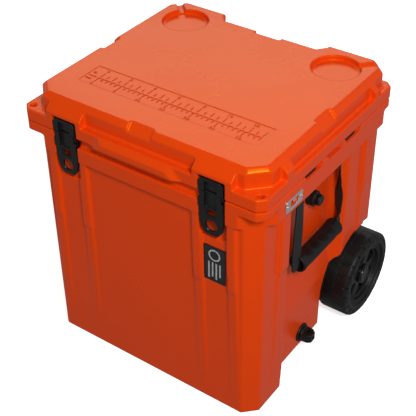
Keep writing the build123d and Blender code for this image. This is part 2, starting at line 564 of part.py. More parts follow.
with BuildPart() as tow_bracket_lower:
    block(-146, 146, BODY_B, 251.5, 44, 66)
    block(-112, 112, 222, 260, 40, 70, Mode.SUBTRACT)
    for s in (1, -1):
        rod_z(s * TOW_X, TOW_Y, TOW_R, 30, 80, Mode.SUBTRACT)
save(tow_bracket_lower, "tow_bracket_lower")

with BuildPart() as tow_bracket_upper:
    block(-146, 146, BODY_B, 251.5, 398, 420)
    block(-112, 112, 222, 260, 390, 430, Mode.SUBTRACT)
    for s in (1, -1):
        rod_z(s * TOW_X, TOW_Y, TOW_R, 390, 430, Mode.SUBTRACT)
save(tow_bracket_upper, "tow_bracket_upper")

with BuildPart() as tow_bracket_screws:
    for z in (55, 409):
        for x in (-90, -30, 30, 90):
            rod_y(x, z, 4.5, 222, 225)
save(tow_bracket_screws, "tow_bracket_screws")

with BuildPart() as tow_grip:
    prism_z([(-150, 231.8), (150, 231.8), (150, 250.5), (-150, 250.5)], 446, 474)
    fillet(tow_grip.edges().filter_by(Axis.Z), 4)
    for s in (1, -1):
        rod_z(s * TOW_X, TOW_Y, 8.0 - FIT, 440, 460, Mode.SUBTRACT)
    block(-9.3, 9.3, 235.7, 246.3, 456, 480, Mode.SUBTRACT)
save(tow_grip, "tow_grip")

with BuildPart() as tow_button:
    block(-9, 9, 236, 246, 463, 478)
    fillet(tow_button.faces().sort_by(Axis.Z)[-1].edges(), 2)
save(tow_button, "tow_button")

with BuildPart() as button_spring:
    rod_z(0, TOW_Y, 3.5, 456, 463)
save(button_spring, "button_spring")
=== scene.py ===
import json
import math
import random
import bmesh
import bpy
from mathutils import Matrix, Vector, noise


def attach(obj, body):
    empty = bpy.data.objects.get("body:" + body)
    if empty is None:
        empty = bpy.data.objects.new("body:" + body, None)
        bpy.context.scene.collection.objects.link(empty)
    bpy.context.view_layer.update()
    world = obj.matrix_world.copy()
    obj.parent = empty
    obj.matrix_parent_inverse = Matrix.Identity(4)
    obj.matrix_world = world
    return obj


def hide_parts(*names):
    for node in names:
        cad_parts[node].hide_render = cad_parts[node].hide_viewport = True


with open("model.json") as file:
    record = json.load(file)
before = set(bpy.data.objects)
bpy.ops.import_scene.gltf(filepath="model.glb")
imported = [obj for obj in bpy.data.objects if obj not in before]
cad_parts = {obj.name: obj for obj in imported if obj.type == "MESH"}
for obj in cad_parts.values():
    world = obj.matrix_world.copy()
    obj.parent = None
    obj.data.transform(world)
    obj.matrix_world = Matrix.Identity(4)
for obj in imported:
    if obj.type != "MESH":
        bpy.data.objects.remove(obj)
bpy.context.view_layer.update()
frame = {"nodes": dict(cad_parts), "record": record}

NODES = frame["nodes"]
SHIFT_Y = -15.9  # from the lid's own middle to the frame, in mm


def D(x, y, z):
    """A point given in mm from the lid's middle, in the frame."""
    return Vector((x, y + SHIFT_Y, z)) / 1000


# ---------------------------------------------------------------- camera, light, floor
AZ, EL, ROLL = math.radians(35.58793600083618), math.radians(37.359447346505235), math.radians(-0.6893279001125421)
back = Vector((math.sin(AZ) * math.cos(EL), -math.cos(AZ) * math.cos(EL), math.sin(EL)))
right = Vector((math.cos(AZ), math.sin(AZ), 0))
up = back.cross(right)
r2 = right * math.cos(ROLL) + up * math.sin(ROLL)
u2 = -right * math.sin(ROLL) + up * math.cos(ROLL)
eye = (Vector((0, 0, 235)) + 1864.4547 * back - 6.5891 * right + 9.6470 * up + Vector((0, SHIFT_Y, 0))) / 1000
cam_data = bpy.data.cameras.new("camera")
cam_data.sensor_width = 36
cam_data.sensor_fit = "HORIZONTAL"
cam_data.lens = 36 * 986.5914 / 416
cam = bpy.data.objects.new("camera", cam_data)
cam.matrix_world = Matrix((
    (r2.x, u2.x, back.x, eye.x),
    (r2.y, u2.y, back.y, eye.y),
    (r2.z, u2.z, back.z, eye.z),
    (0, 0, 0, 1)))
bpy.context.scene.collection.objects.link(cam)
bpy.context.scene.camera = cam

world = bpy.data.worlds.new("studio")
bpy.context.scene.world = world
world.use_nodes = True
wn, wl = world.node_tree.nodes, world.node_tree.links
wc = wn.new("ShaderNodeTexCoord")
ws = wn.new("ShaderNodeSeparateXYZ")
wr = wn.new("ShaderNodeValToRGB")
for at, v in ((0.0, 0.20), (0.42, 0.32), (0.56, 0.58), (0.75, 0.34)):
    e = wr.color_ramp.elements[0] if at == 0 else wr.color_ramp.elements.new(at)
    e.position, e.color = at, (v, v, v, 1)
wr.color_ramp.elements[-1].color = (0.22, 0.22, 0.22, 1)
wm = wn.new("ShaderNodeMapRange")
wm.inputs["From Min"].default_value = -1
wl.new(wc.outputs["Generated"], ws.inputs[0])
wl.new(ws.outputs["Z"], wm.inputs["Value"])
wl.new(wm.outputs["Result"], wr.inputs["Fac"])
wl.new(wr.outputs["Color"], wn["Background"].inputs["Color"])
wn["Background"].inputs["Strength"].default_value = 1.0
bpy.context.scene.view_settings.view_transform = "Standard"


def lamp(name, where, at, size, share):
    """A soft box whose light on a face turned to it is this share of full white."""
    where, at = Vector(where), Vector(at)
    d = bpy.data.lights.new(name, "AREA")
    d.shape = "RECTANGLE"
    d.size, d.size_y = size
    d.energy = share * math.pi ** 2 * (where - at).length_squared
    o = bpy.data.objects.new(name, d)
    o.location = where
    o.rotation_euler = (at - where).to_track_quat("-Z", "Y").to_euler()
    bpy.context.scene.collection.objects.link(o)
    return o


lamp("back", (-1.5, 2.1, 2.45), (0, 0, 0.5), (1.9, 1.7), 0.22).data.color = (1.0, 0.88, 0.66)
lamp("key", (1.52, -1.20, 2.05), (0, 0, 0.3), (0.50, 0.50), 0.62)

# ---------------------------------------------------------------- materials


class Mat:
    """Builds one node material: a Principled shader with its patterns."""

    def __init__(self, name, color, rough, **sockets):
        self.m = bpy.data.materials.new(name)
        self.m.use_nodes = True
        self.n, self.l = self.m.node_tree.nodes, self.m.node_tree.links
        self.p = self.n["Principled BSDF"]
        self.p.inputs["Base Color"].default_value = (*color, 1)
        self.p.inputs["Roughness"].default_value = rough
        for k, v in sockets.items():
            self.p.inputs[k.replace("_", " ")].default_value = v
        self.m.diffuse_color = (*color, 1)
        self.pos = self.node("ShaderNodeTexCoord").outputs["Object"]
        self.height = None

    def node(self, kind, **kw):
        n = self.n.new(kind)
        for k, v in kw.items():
            setattr(n, k, v)
        return n

    def noise(self, scale, detail=3, rough=0.5, stretch=None, distortion=0.0):
        n = self.node("ShaderNodeTexNoise")
        n.inputs["Scale"].default_value = scale
        n.inputs["Detail"].default_value = detail
        n.inputs["Roughness"].default_value = rough
        n.inputs["Distortion"].default_value = distortion
        src = self.pos
        if stretch:
            mp = self.node("ShaderNodeMapping")
            mp.inputs["Scale"].default_value = stretch
            self.l.new(src, mp.inputs["Vector"])
            src = mp.outputs["Vector"]
        self.l.new(src, n.inputs["Vector"])
        return n.outputs["Fac"]

    def voronoi(self, scale, feature="F1"):
        n = self.node("ShaderNodeTexVoronoi", feature=feature)
        n.inputs["Scale"].default_value = scale
        self.l.new(self.pos, n.inputs["Vector"])
        return n.outputs["Distance"]

    def ramp(self, fac, stops):
        n = self.node("ShaderNodeValToRGB")
        e = n.color_ramp.elements
        while len(e) < len(stops):
            e.new(0.5)
        for el, (at, c) in zip(e, stops):
            el.position = at
            el.color = (*c, 1) if isinstance(c, tuple) else (c, c, c, 1)
        self.l.new(fac, n.inputs["Fac"])
        return n.outputs["Color"]

    def mix(self, fac, a, b):
        n = self.node("ShaderNodeMix", data_type="RGBA")
        for k, v in (("Factor", fac), ("A", a), ("B", b)):
            s = [i for i in n.inputs if i.name == k and i.type == ("VALUE" if k == "Factor" else "RGBA")][0]
            if hasattr(v, "links"):
                self.l.new(v, s)
            elif k == "Factor":
                s.default_value = v
            else:
                s.default_value = (*v, 1)
        return [o for o in n.outputs if o.type == "RGBA"][0]

    def math(self, op, a, b=0.0, c=0.0):
        n = self.node("ShaderNodeMath", operation=op)
        for i, v in enumerate((a, b, c)):
            if hasattr(v, "links"):
                self.l.new(v, n.inputs[i])
            else:
                n.inputs[i].default_value = v
        return n.outputs[0]

    def range(self, v, a, b, c, d):
        n = self.node("ShaderNodeMapRange")
        self.l.new(v, n.inputs["Value"])
        for k, x in zip(("From Min", "From Max", "To Min", "To Max"), (a, b, c, d)):
            n.inputs[k].default_value = x
        return n.outputs["Result"]

    def color(self, sock):
        self.l.new(sock, self.p.inputs["Base Color"])
        return self

    def rough(self, sock):
        self.l.new(sock, self.p.inputs["Roughness"])
        return self

    def bump(self, sock, strength, distance):
        n = self.node("ShaderNodeBump")
        n.inputs["Strength"].default_value = strength
        n.inputs["Distance"].default_value = distance
        self.l.new(sock, n.inputs["Height"])
        if self.height is not None:
            self.l.new(self.height, n.inputs["Normal"])
        self.height = n.outputs["Normal"]
        self.l.new(self.height, self.p.inputs["Normal"])
        return self


def orange_plastic(name, dark=1.0):
    """Moulded polyethylene: an even colour with soft clouds, a fine satin stipple and a waxy sheen."""
    base = (0.81 * dark, 0.052 * dark, 0.0025 * dark)
    k = Mat(name, base, 0.27, Specular_IOR_Level=0.40, Specular_Tint=(1.0, 0.66, 0.04, 1))
    cloud = k.noise(7, 4, 0.55)
    grain = k.noise(420, 2, 0.5)
    c1 = k.mix(k.range(cloud, 0.3, 0.7, 0, 1), tuple(v * 0.98 for v in base), (base[0] * 1.01, base[1] * 1.04, base[2] * 1.1))
    c2 = k.mix(k.range(grain, 0.35, 0.65, 0, 0.06), c1, tuple(v * 0.86 for v in base))
    k.color(c2)
    k.rough(k.range(k.noise(9, 3, 0.5), 0.3, 0.75, 0.25, 0.29))
    k.bump(k.noise(1100, 2, 0.5), 0.03, 0.00015)
    return k.m


def black_plastic(name, tone=0.0050, rough=0.42, grain=900, strength=0.12):
    k = Mat(name, (tone, tone, tone * 0.97), rough, Specular_IOR_Level=0.34)
    k.color(k.mix(k.range(k.noise(30, 4, 0.6), 0.35, 0.7, 0, 1), (tone * 0.85,) * 3, (tone * 1.35,) * 3))
    k.rough(k.range(k.noise(55, 3, 0.6), 0.3, 0.7, rough - 0.07, rough + 0.09))
    k.bump(k.noise(grain, 3, 0.6), strength, 0.0003)
    return k.m


def brushed(name, color, rough, stretch, anis=0.0):
    k = Mat(name, color, rough, Metallic=1.0)
    streak = k.noise(300, 4, 0.65, stretch=stretch)
    k.color(k.mix(k.range(streak, 0.3, 0.7, 0, 1), tuple(v * 0.82 for v in color), tuple(min(1, v * 1.12) for v in color)))
    k.rough(k.range(streak, 0.3, 0.7, rough - 0.08, rough + 0.12))
    k.bump(streak, 0.12, 0.0002)
    return k.m


def webbing(name):
    """Flat woven webbing: the UV's u runs across the strap and v along it, in metres."""
    k = Mat(name, (0.008, 0.008, 0.008), 0.8, Sheen_Weight=0.06, Sheen_Roughness=0.5, Specular_IOR_Level=0.15)
    uv = k.node("ShaderNodeUVMap", uv_map="strap").outputs["UV"]
    sep = k.node("ShaderNodeSeparateXYZ")
    k.l.new(uv, sep.inputs[0])
    u, v = sep.outputs["X"], sep.outputs["Y"]
    # chevrons: ribs 1.1 mm apart along the strap, slanting the other way in each 3.2 mm band
    band = k.math("PINGPONG", u, 0.0032)
    ribs = k.math("SINE", k.math("MULTIPLY", k.math("ADD", v, k.math("MULTIPLY", band, 0.8)), 2 * math.pi / 0.0013))
    cross = k.math("SINE", k.math("MULTIPLY", u, 2 * math.pi / 0.0032))
    h = k.math("ADD", k.math("MULTIPLY", ribs, 0.6), k.math("MULTIPLY", cross, 0.4))
    k.color(k.mix(k.range(h, -1, 1, 0, 1), (0.006, 0.006, 0.0065), (0.0125, 0.0125, 0.013)))
    k.bump(h, 0.30, 0.0003)
    k.bump(k.noise(2400, 2, 0.6), 0.12, 0.0002)
    return k.m


def rubber(name, tone=0.0055, rough=0.46):
    k = Mat(name, (tone,) * 3, rough, Specular_IOR_Level=0.28)
    dust = k.noise(24, 5, 0.65)
    k.color(k.mix(k.range(dust, 0.45, 0.8, 0, 1), (tone * 0.9,) * 3, (tone * 1.9, tone * 1.85, tone * 1.8)))
    k.rough(k.range(dust, 0.3, 0.8, rough - 0.06, rough + 0.14))
    k.bump(k.noise(700, 3, 0.65), 0.12, 0.0003)
    return k.m


ORANGE = orange_plastic("orange_moulding")
ORANGE_IN = orange_plastic("orange_liner", 0.97)
BLACK = black_plastic("black_nylon")
BLACK_GLOSS = black_plastic("black_latch", 0.0052, 0.32, 700, 0.08)
STEEL = brushed("plated_steel", (0.80, 0.80, 0.81), 0.30, (1, 1, 12))
PLATE = brushed("brushed_stainless", (0.86, 0.87, 0.88), 0.38, (0.06, 0.06, 6))
TUBE = brushed("anodised_tube", (0.045, 0.045, 0.05), 0.36, (8, 8, 0.1))
SEAL = rubber("gasket_rubber", 0.03, 0.6)
TYRE = rubber("tyre_rubber")
GRIPM = rubber("grip_rubber", 0.0050, 0.44)
WEB = webbing("woven_webbing")


def foam_material():
    k = Mat("rigid_foam", (0.82, 0.74, 0.52), 0.8)
    cells = k.voronoi(900)
    k.color(k.mix(k.range(cells, 0.0, 0.8, 0, 1), (0.70, 0.60, 0.38), (0.88, 0.82, 0.62)))
    k.bump(cells, 0.4, 0.0006)
    return k.m


def badge_material():
    k = Mat("badge_face", (0.008, 0.008, 0.008), 0.30, Specular_IOR_Level=0.5)
    k.rough(k.range(k.noise(120, 3, 0.6), 0.3, 0.7, 0.26, 0.40))
    k.color(k.mix(k.range(k.noise(60, 3, 0.5), 0.3, 0.7, 0, 1), (0.0065,) * 3, (0.011,) * 3))
    k.bump(k.noise(1100, 2, 0.5), 0.10, 0.0002)
    return k.m


FOAM, BADGE = foam_material(), badge_material()

SLOT_MATS = {
    "orange_shell": ORANGE, "black_plastic": BLACK, "tyre_rubber": TYRE, "steel": STEEL,
    "plate_steel": PLATE, "tube_aluminium": TUBE, "foam": FOAM, "liner": ORANGE_IN,
    "seal_rubber": SEAL, "webbing": WEB, "grip_rubber": GRIPM, "badge_plate": BADGE,
}
NODE_SLOT = {s["node"]: s["material_slot"] for s in frame["record"]["subparts"]}
NODE_BODY = {n: b for b, ns in frame["record"]["behaviour"]["bodies"].items() for n in ns}


def paint(ob, mat):
    ob.data.materials.clear()
    ob.data.materials.append(mat)


for n, ob in NODES.items():
    mat = SLOT_MATS[NODE_SLOT[n]]
    for s in ob.material_slots:
        s.link = "OBJECT"
        s.material = mat

# ---------------------------------------------------------------- mesh helpers


def new_object(name, mesh):
    ob = bpy.data.objects.new(name, mesh)
    bpy.context.scene.collection.objects.link(ob)
    return ob


def mesh_copy(node):
    me = NODES[node].data.copy()
    bm = bmesh.new()
    bm.from_mesh(me)
    bmesh.ops.remove_doubles(bm, verts=bm.verts, dist=1e-6)
    bm.to_mesh(me)
    bm.free()
    return me


def bake_modifiers(ob):
    dg = bpy.context.evaluated_depsgraph_get()
    me = bpy.data.meshes.new_from_object(ob.evaluated_get(dg), depsgraph=dg)
    ob.modifiers.clear()
    ob.data = me
    return ob


def smooth_shade(ob, angle=None):
    for p in ob.data.polygons:
        p.use_smooth = True
    if angle:
        ob.data.set_sharp_from_angle(angle=math.radians(angle))


def settle(ob, nodes, mat, body=None):
    """The piece stands for these nodes and rides with their body."""
    paint(ob, mat)
    if nodes:
        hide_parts(*nodes)
    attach(ob, body or NODE_BODY[nodes[0]])
    return ob


def soften(node, name, voxel, rounds, keep, mat, factor=0.5):
    """A moulded look for a CAD solid: the same shape with every edge rounded off."""
    ob = new_object(name, mesh_copy(node))
    m = ob.modifiers.new("skin", "REMESH")
    m.mode = "VOXEL"
    m.voxel_size = voxel
    m = ob.modifiers.new("round", "SMOOTH")
    m.factor = factor
    m.iterations = rounds
    bake_modifiers(ob)
    if keep < 1:
        m = ob.modifiers.new("thin", "DECIMATE")
        m.ratio = keep
        bake_modifiers(ob)
    smooth_shade(ob)
    return settle(ob, [node], mat)


def bm_object(name, bm, recalc=True):
    if recalc:
        bmesh.ops.recalc_face_normals(bm, faces=bm.faces)
    me = bpy.data.meshes.new(name)
    bm.to_mesh(me)
    bm.free()
    return new_object(name, me)


def shapes(name, specs, flip):
    """A mesh of closed solids from short descriptions in mm; flip mirrors it to the left side."""
    bm = bmesh.new()

    def loop(pts):
        return [bm.verts.new(Vector((-p.x if flip else p.x, p.y, p.z))) for p in pts]

    def skin(a, b):
        va, vb = loop(a), loop(b)
        n = len(va)
        bm.faces.new(va)
        bm.faces.new(vb[::-1])
        for i in range(n):
            bm.faces.new((va[i], vb[i], vb[(i + 1) % n], va[(i + 1) % n]))

    for kind, *v in specs:
        if kind == "box":
            x0, x1, y0, y1, z0, z1 = v
            pts = [(x0, y0), (x1, y0), (x1, y1), (x0, y1)]
            skin([D(x, y, z0) for x, y in pts], [D(x, y, z1) for x, y in pts])
        elif kind == "px":
            pts, x0, x1 = v
            skin([D(x0, y, z) for y, z in pts], [D(x1, y, z) for y, z in pts])
        elif kind == "py":
            pts, y0, y1 = v
            skin([D(x, y0, z) for x, z in pts], [D(x, y1, z) for x, z in pts])
        elif kind == "pz":
            pts, z0, z1 = v
            skin([D(x, y, z0) for x, y in pts], [D(x, y, z1) for x, y in pts])
        else:
            u, w, r, a0, a1 = v[:5]
            r2 = v[5] if len(v) > 5 else r
            n = 40
            ring = [(math.cos(2 * math.pi * i / n), math.sin(2 * math.pi * i / n)) for i in range(n)]
            put = {"cx": lambda c, s, q, h: D(h, u + q * c, w + q * s),
                   "cy": lambda c, s, q, h: D(u + q * c, h, w + q * s),
                   "cz": lambda c, s, q, h: D(u + q * c, w + q * s, h)}[kind]
            skin([put(c, s_, r, a0) for c, s_ in ring], [put(c, s_, r2, a1) for c, s_ in ring])
    return bm_object(name, bm)


def carve(name, adds, cuts, voxel, rounds, keep, mat, nodes, flip=False, factor=0.5, body=None):
    """Solids joined, cut and rounded off like a moulding."""
    ob = shapes(name, adds, flip)
    if cuts:
        tool = shapes(name + "_cut", cuts, flip)
        m = ob.modifiers.new("cut", "BOOLEAN")
        m.operation, m.solver, m.use_self, m.object = "DIFFERENCE", "EXACT", True, tool
    m = ob.modifiers.new("skin", "REMESH")
    m.mode, m.voxel_size = "VOXEL", voxel / 1000
    m = ob.modifiers.new("round", "SMOOTH")
    m.factor, m.iterations = factor, rounds
    bake_modifiers(ob)
    if cuts:
        bpy.data.objects.remove(tool)
    if keep < 1:
        m = ob.modifiers.new("thin", "DECIMATE")
        m.ratio = keep
        bake_modifiers(ob)
    smooth_shade(ob)
    return settle(ob, nodes, mat, body)


# ---------------------------------------------------------------- mouldings
lid = soften("lid_shell", "lid_moulding", 0.0016, 4, 0.25, ORANGE)
for v in lid.data.vertices:  # the deck is truly flat
    if v.co.z > 0.52868:
        v.co.z = 0.529
lid.data.update()
body = soften("body_shell", "body_moulding", 0.0021, 3, 0.22, ORANGE)

# notches in the side rims, cut crisp after the rounding, and the dark bars that show in two of them
notch = []
for s_ in (1, -1):
    x0_, x1_ = sorted((s_ * 234.5, s_ * 250))
    for y0_, y1_ in ((-86, -37), (-14, 29), (43, 90)):
        notch.append(("px", [(y0_, 475), (y0_, 461.6), (y0_ + 1.2, 460.6), (y1_ - 1.2, 460.6), (y1_, 461.6), (y1_ + 4.2, 466.8),
                             (y1_ + 5.0, 475)], x0_, x1_))
tool = shapes("rim_notch_cut", notch, False)
m = body.modifiers.new("notch", "BOOLEAN")
m.operation, m.solver, m.object = "DIFFERENCE", "EXACT", tool
bake_modifiers(body)
bpy.data.objects.remove(tool)
for p_ in body.data.polygons:
    p_.use_smooth = True
body.data.set_sharp_from_angle(angle=math.radians(38))
paint(body, ORANGE)
for flip, side_ in ((False, "right"), (True, "left")):
    carve(f"strap_retainers_{side_}_bar",
          [("box", 220, 241.2, -83, -49.5, 456, 469.2), ("box", 220, 241.2, 46.5, 80.5, 456, 469.2)], [],
          0.8, 1, 0.3, BLACK, [f"strap_retainers_{side_}"], flip)

# ---------------------------------------------------------------- ruler on the deck
# The ruler's lines and digits are raised strips of the same plastic in a darker orange: painted shade standing in for
# the shade inside the real incised grooves.
RULER_PAINTED_SHADE = orange_plastic("ruler_mark_painted_shade", 0.80)
DECK_Z = 529.0


def strip(bm, x0, y0, x1, y1, w=1.5):
    """One moulded line: a low bar with sloping sides."""
    d = Vector((x1 - x0, y1 - y0)).normalized()
    n = Vector((-d.y, d.x))
    loops = []
    for h, k in ((-0.4, w / 2 + 0.1), (0.02, w / 2), (0.14, w / 2 - 0.25)):
        e = k
        loops.append([bm.verts.new(D(px + d.x * q * e + n.x * t * k, py + d.y * q * e + n.y * t * k, DECK_Z + h))
                      for px, py, q, t in ((x0, y0, -1, -1), (x1, y1, 1, -1), (x1, y1, 1, 1), (x0, y0, -1, 1))])
    for a_, b_ in zip(loops, loops[1:]):
        for i in range(4):
            bm.faces.new((a_[i], a_[(i + 1) % 4], b_[(i + 1) % 4], b_[i]))
    bm.faces.new(loops[-1])
    bm.faces.new(loops[0][::-1])


bm = bmesh.new()
strip(bm, -182.3, -75.9, 183, -75.9, 1.9)
strip(bm, -182.3, -77.6, -182.3, -132.5, 1.9)
strip(bm, -177.7, -108.8, -162.5, -108.8)
for k in range(34):
    x = -156.1 + 10 * k
    strip(bm, x, -108.8, min(x + 6.6, 174.5), -108.8)
    strip(bm, x, -110.4, x, -123.2 if k % 5 == 0 else -116.6)
for j in range(27):
    x = -156.1 + 12.7 * j
    strip(bm, x, -103.1, x, -96.6 if j % 2 else -91.4)
marks = bm_object("ruler_lines", bm)
# the lines carry the darker orange of painted shade
settle(marks, [], RULER_PAINTED_SHADE, "lid")


def number(text, x, y, size):
    cu = bpy.data.curves.new("digits", "FONT")
    cu.body, cu.size, cu.extrude = text, size / 1000, 0.0004
    cu.align_x, cu.align_y = "CENTER", "CENTER"
    cu.offset = 0.0002
    cu.space_character = 1.15
    cu.resolution_u = 4
    ob = bpy.data.objects.new("digits", cu)
    bpy.context.scene.collection.objects.link(ob)
    ob.location = D(x, y, DECK_Z - 0.26)
    bpy.context.view_layer.update()
    me = bpy.data.meshes.new_from_object(ob.evaluated_get(bpy.context.evaluated_depsgraph_get()))
    me.transform(ob.matrix_world)
    bpy.data.objects.remove(ob)
    return me


digits = bmesh.new()
for k in range(0, 31, 5):
    digits.from_mesh(number(str(k), -156.1 + 10 * k, -130.0, 9.5))
for k in range(0, 13, 2):
    digits.from_mesh(number(str(k), -156.1 + 25.4 * k, -83.2, 10.0))
digits.from_mesh(number("in", -173.5, -97, 9))
digits.from_mesh(number("cm", -172.5, -117.3, 9))
num = bm_object("ruler_numbers", digits, recalc=False)
# the digits carry the darker orange of painted shade
settle(num, [], RULER_PAINTED_SHADE, "lid")

# ---------------------------------------------------------------- latches
LX = 149.5
for flip, side_ in ((False, "right"), (True, "left")):
    carve(f"latch_mount_{side_}_cast",
          [("py", [(LX - 23.5, 473.8), (LX + 23.5, 473.8), (LX + 23.5, 492), (LX + 17.5, 498.8), (LX - 17.5, 498.8),
                   (LX - 23.5, 492)], -214.5, -199.6),
           ("px", [(-213.2, 474), (-202, 474), (-202, 466), (-204, 461.5), (-207.5, 460.2), (-211, 461.5), (-213.2, 466)], LX + 20.4, LX + 23.5),
           ("px", [(-213.2, 474), (-202, 474), (-202, 466), (-204, 461.5), (-207.5, 460.2), (-211, 461.5), (-213.2, 466)], LX - 23.5, LX - 20.4)],
          [("pz", [(LX - 12.5, -216), (LX + 12.5, -216), (LX + 10.5, -208.8), (LX - 10.5, -208.8)], 465, 493.5),
           ("cx", -207.5, 466, 8.9, LX - 20.3, LX + 20.3)],
          0.5, 2, 0.35, BLACK_GLOSS, [f"latch_mount_{side_}"], flip)
    carve(f"latch_lever_{side_}_cast",
          [("px", [(-214.5, 443), (-214.5, 470.4), (-213.6, 472.2), (-205, 472.2), (-203.5, 463), (-208, 459), (-208, 443)], LX - 20.0, LX + 20.0),
           ("px", [(-214.5, 443), (-214.5, 459.6), (-208, 459.6), (-208, 443)], LX - 23.5, LX + 23.5),
           ("py", [(LX + 23.5, 444), (LX + 23.5, 420), (LX + 20.5, 403), (LX + 12.5, 391.6), (LX - 12.5, 391.6),
                   (LX - 20.5, 403), (LX - 23.5, 420), (LX - 23.5, 444)], -212.6, -208.4)],
          [("pz", [(LX - 12.5, -216), (LX + 12.5, -216), (LX + 10.5, -208.9), (LX - 10.5, -208.9)], 443.5, 474),
           ("pz", [(LX - 11.8, -216), (LX + 11.8, -216), (LX + 10.4, -210.9), (LX - 10.4, -210.9)], 426.6, 444.5),
           ("box", LX - 8.2, LX + 8.2, -220, -200, 428.6, 438.6),
           ("cy", LX, 409.4, 12.2, -213.6, -211.0, 10.6), ("cy", LX, 409.4, 10.6, -220, -200)],
          0.45, 2, 0.35, BLACK_GLOSS, [f"latch_lever_{side_}"], flip)
    carve(f"latch_pin_{side_}_turned",
          [("cx", -207.5, 466, 1.4, LX - 23.2, LX + 23.2)], [], 0.3, 1, 0.5, BLACK_GLOSS, [f"latch_pin_{side_}"], flip)

# ---------------------------------------------------------------- wheels
WY, WZ = 165.0, 87.5


def tyre(side_, flip):
    """A moulded tyre: rounded shoulders, block outlines in the tread, notches in the shoulder and a dished side."""
    periods, R = 24, 87.45
    step = 2 * math.pi / periods
    cutsa = [0.0, 0.035, 0.07, 0.105, 0.25, 0.4, 0.55, 0.70, 0.805, 0.84, 0.875, 0.91, 0.955]
    angles = [(k + c) * step for k in range(periods) for c in cutsa]
    phase = [c for _ in range(periods) for c in cutsa]
    prof = [(196.0, 58.3), (193.0, 59.5), (191.2, 62.0), (191.0, 66.0), (191.0, 74.0), (191.2, 79.0), (192.2, 82.2),
            (194.2, 85.0), (197.0, 86.7), (200.5, R), (206.0, R), (206.8, R), (207.6, R), (208.4, R), (215.0, R),
            (227.0, R), (227.8, R), (228.8, R), (229.6, R), (238.0, R), (246.0, R), (249.5, R - 0.25), (251.6, 86.6),
            (253.4, 85.0), (254.8, 82.6), (255.5, 80.0), (255.75, 78.6), (255.8, 77.6), (255.85, 76.4), (255.9, 72.0),
            (255.8, 68.5), (255.2, 66.8), (253.8, 66.0), (252.2, 65.6), (251.4, 64.6), (251.2, 63.2), (251.8, 62.2),
            (252.0, 60.8), (251.6, 59.2), (250.6, 58.3)]
    bm = bmesh.new()
    rings = []
    for a, ph in zip(angles, phase):
        row = []
        block = 0.035 <= ph <= 0.875
        edge = ph in (0.0, 0.91, 0.955)
        line = ph in (0.035, 0.875)
        for x, r in prof:
            dr = dx = 0.0
            if 228.5 <= x <= 249.6 and r > 80 and line:
                dr = -0.75
            if 227.8 <= x <= 228.9 and block:
                dr = -0.75
            if 206.7 <= x <= 207.7 and block:
                dr = -0.75
            if 201 <= x <= 206.8 and line:
                dr = -0.75
            if edge and 249.4 < x < 255.6 and r > 79:
                dr = -2.1
                dx = -1.3
            if edge and 191.0 < x < 200 and r > 78.5:
                dr = -1.6
            if 76.3 <= r <= 78.7 and x > 255 and 0.2 <= ph <= 0.75:
                dx = -1.5
            q = r + dr
            px = x + dx
            p = D(px, WY + q * math.cos(a), WZ + q * math.sin(a))
            row.append(bm.verts.new(Vector((-p.x if flip else p.x, p.y, p.z))))
        rings.append(row)
    n, m_ = len(rings), len(prof)
    for i in range(n):
        a_, b_ = rings[i], rings[(i + 1) % n]
        for j in range(m_):
            bm.faces.new((a_[j], a_[(j + 1) % m_], b_[(j + 1) % m_], b_[j]))
    ob = bm_object(f"tyre_{side_}_tread", bm)
    smooth_shade(ob, 32)
    return settle(ob, [f"tyre_{side_}"], TYRE)


def sector(r0, r1, w0, w1, a, steps=5):
    """A spoke window: a rounded trapezoid between two radii."""
    pts = [(r0, -w0)]
    for i in range(steps):
        t = -1 + 2 * i / (steps - 1)
        pts.append((math.sqrt(r1 * r1 - (w1 * t) ** 2), w1 * t))
    pts.append((r0, w0))
    return [(WY + u * math.cos(a) - v * math.sin(a), WZ + u * math.sin(a) + v * math.cos(a)) for u, v in pts]


for flip, side_ in ((False, "right"), (True, "left")):
    tyre(side_, flip)
    carve(f"wheel_hub_{side_}_cast",
          [("cx", WY, WZ, 58.2, 196, 251), ("cx", WY, WZ, 57.0, 230, 251.6, 57.0)],
          [("cx", WY, WZ, 55.0, 190, 233), ("cx", WY, WZ, 54.0, 243.5, 256, 56.6), ("cx", WY, WZ, 19.3, 236, 260)] +
          [("px", sector(25.5, 51.5, 5.2, 16.5, math.radians(60 * k + 30)), 225, 262) for k in range(6)],
          0.9, 2, 0.30, BLACK, [f"wheel_hub_{side_}"], flip)
    # bearing boss behind the spokes, part of the bush's stretch
    carve(f"hub_cap_{side_}_disc",
          [("cx", WY, WZ, 19.0, 238.2, 249.5), ("cx", WY, WZ, 16.4, 249, 251.9, 15.4)],
          [("cx", WY, WZ, 15.0, 230, 246), ("cx", WY, WZ, 11.5, 251.2, 256, 12.5)],
          0.45, 2, 0.35, BLACK_GLOSS, [f"hub_cap_{side_}"], flip)

# ---------------------------------------------------------------- side handles
SX, GZ = 226.0, 264.0


